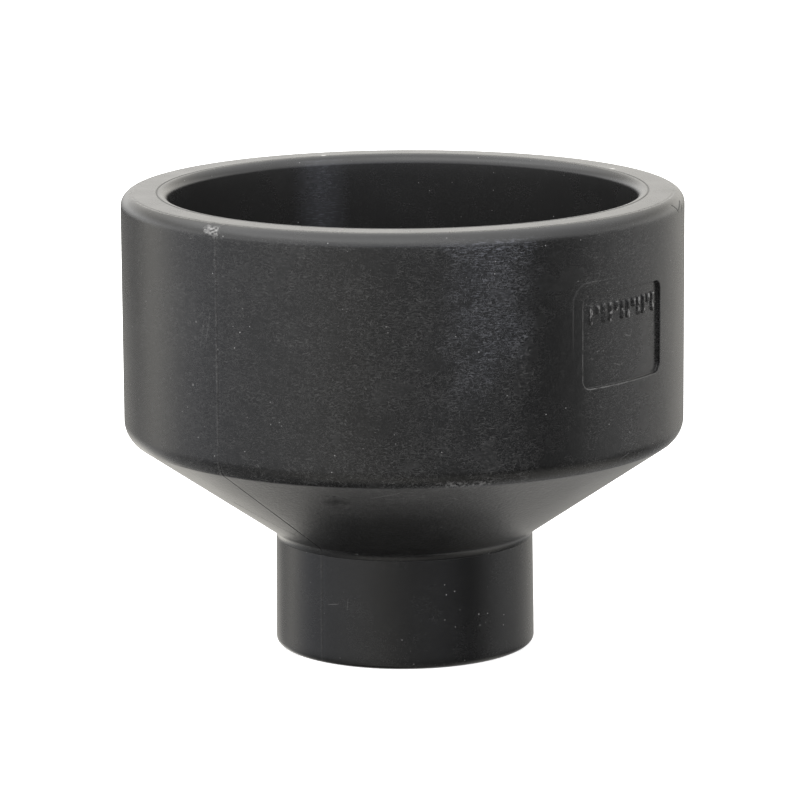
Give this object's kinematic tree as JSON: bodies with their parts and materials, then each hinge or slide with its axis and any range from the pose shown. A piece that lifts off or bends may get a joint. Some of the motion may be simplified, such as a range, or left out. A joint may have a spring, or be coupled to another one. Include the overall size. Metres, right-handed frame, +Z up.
{
  "type": "socket fusion pipe reducer",
  "caption": "Concentric pipe reducer of black plastic: a wide cup-shaped socket, a cone, and a narrow socket below, on one axis, open right through.",
  "frame": {"origin": "centre of the small end's flat face, on the axis of both sockets; the part stands on this face", "axes": "+Z up the common axis, out of the large socket; +X out through the middle of the marking pocket, the direction in which one mould half opens; the parting lines lie on -Y and +Y"},
  "size_m": [0.089, 0.089, 0.073],
  "materials": {
    "black_polyethylene": "as-moulded black polyethylene, satin, with fine handling scratches"
  },
  "bodies": {
    "root": {"reducer_body": "black_polyethylene"}
  },
  "joints": []
}
